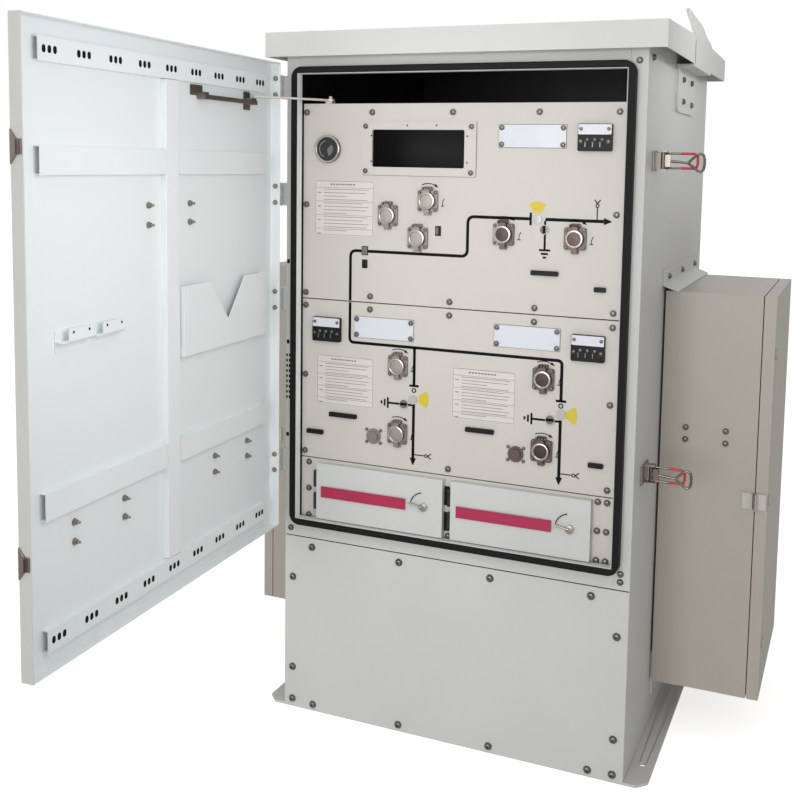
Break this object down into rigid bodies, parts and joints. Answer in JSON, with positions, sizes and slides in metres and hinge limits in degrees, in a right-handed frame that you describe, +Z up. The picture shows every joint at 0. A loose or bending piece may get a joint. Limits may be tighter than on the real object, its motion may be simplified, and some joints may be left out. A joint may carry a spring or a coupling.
{
  "type": "outdoor ring main unit",
  "caption": "Free-standing steel switchgear kiosk with a bolted plinth, cap roof, hinged front door over mimic panels and a cable box on each side.",
  "frame": {"origin": "on the ground at the centre of the four anchor holes in the foot flanges", "axes": "+Z up, -Y out of the cabinet's front, +X to the right seen from the front"},
  "size_m": [1.286, 1.6364, 1.6188],
  "materials": {
    "cabinet_paint": "fine textured powder coat, light grey",
    "door_paint": "fine textured powder coat, cool white",
    "panel_paint": "satin powder coat, warm pale grey",
    "box_paint": "satin powder coat, warm grey",
    "gasket_rubber": "extruded black sealing rubber",
    "stainless_steel": "brushed stainless steel",
    "lever_steel": "bright steel lever with a red dipped grip",
    "black_plastic": "moulded black plastic",
    "white_plate": "blank engraved laminate",
    "clear_dial": "clear lens over a printed disc",
    "bushing_resin": "cast epoxy resin"
  },
  "bodies": {
    "cabinet": {"left_wall": "cabinet_paint", "right_wall": "cabinet_paint", "back_wall": "cabinet_paint", "plinth_front_panel": "cabinet_paint", "plinth_back_panel": "cabinet_paint", "left_foot_flange": "cabinet_paint", "right_foot_flange": "cabinet_paint", "left_post": "cabinet_paint", "right_post": "cabinet_paint", "top_beam": "cabinet_paint", "bottom_beam": "cabinet_paint", "roof": "cabinet_paint", "lifting_lug": "cabinet_paint", "door_gasket": "gasket_rubber", "switchgear_tank": "panel_paint", "tank_rails": "cabinet_paint", "upper_panel": "panel_paint", "lower_panel": "panel_paint", "test_panel": "panel_paint", "test_bushings": "bushing_resin", "window_frame": "panel_paint", "pressure_gauge": "stainless_steel", "name_plates": "white_plate", "voltage_indicators": "black_plastic", "socket_flanges": "stainless_steel", "socket_caps": "stainless_steel", "phase_plugs": "stainless_steel", "interlock_tabs": "black_plastic", "position_dials": "clear_dial", "door_hinge_leaves": "cabinet_paint", "latch_bases": "stainless_steel", "stay_pivot": "stainless_steel", "right_box_body": "box_paint", "left_box_body": "box_paint", "box_brackets": "cabinet_paint"},
    "front_door": {"front_door_panel": "door_paint", "door_rails": "door_paint", "door_stiffeners": "door_paint", "document_pocket": "door_paint", "handle_brackets": "door_paint", "stay_channel": "stainless_steel", "door_keepers": "stainless_steel", "door_knuckles": "door_paint"},
    "door_stay": {"stay_rod": "stainless_steel"},
    "left_test_cover": {"test_cover_left": "panel_paint"},
    "right_test_cover": {"test_cover_right": "panel_paint"},
    "right_cable_box_door": {"right_box_door": "box_paint"},
    "left_cable_box_door": {"left_box_door": "box_paint"},
    "upper_latch": {"upper_latch_lever": "lever_steel"},
    "lower_latch": {"lower_latch_lever": "lever_steel"}
  },
  "joints": [
    {"name": "front_door_hinge", "type": "hinge", "parent": "cabinet", "child": "front_door", "pos_m": [-0.413, -0.396, 0.961], "axis": [0, 0, -1], "range_deg": [-87.4, 0]},
    {"name": "door_stay_swing", "type": "hinge", "parent": "cabinet", "child": "door_stay", "pos_m": [-0.302, -0.365, 1.404], "axis": [0, 0, -1], "range_deg": [-117, 0]},
    {"name": "left_test_cover_hinge", "type": "hinge", "parent": "cabinet", "child": "left_test_cover", "pos_m": [-0.3215, -0.385, 0.528], "axis": [0, 0, -1], "range_deg": [0, 95]},
    {"name": "right_test_cover_hinge", "type": "hinge", "parent": "cabinet", "child": "right_test_cover", "pos_m": [0.004, -0.385, 0.528], "axis": [0, 0, -1], "range_deg": [0, 95]},
    {"name": "right_box_door_hinge", "type": "hinge", "parent": "cabinet", "child": "right_cable_box_door", "pos_m": [0.6235, 0.298, 0.5555], "axis": [0, 0, 1], "range_deg": [0, 110]},
    {"name": "left_box_door_hinge", "type": "hinge", "parent": "cabinet", "child": "left_cable_box_door", "pos_m": [-0.6235, 0.338, 0.5555], "axis": [0, 0, -1], "range_deg": [0, 110]},
    {"name": "upper_latch_pivot", "type": "hinge", "parent": "cabinet", "child": "upper_latch", "pos_m": [0.416, -0.285, 1.283], "axis": [0, 0, 1], "range_deg": [0, 90]},
    {"name": "lower_latch_pivot", "type": "hinge", "parent": "cabinet", "child": "lower_latch", "pos_m": [0.416, -0.285, 0.634], "axis": [0, 0, 1], "range_deg": [0, 90]}
  ],
  "couplings": [
    {"joint": "door_stay_swing", "follows": "front_door_hinge", "ratio": 1.33}
  ]
}
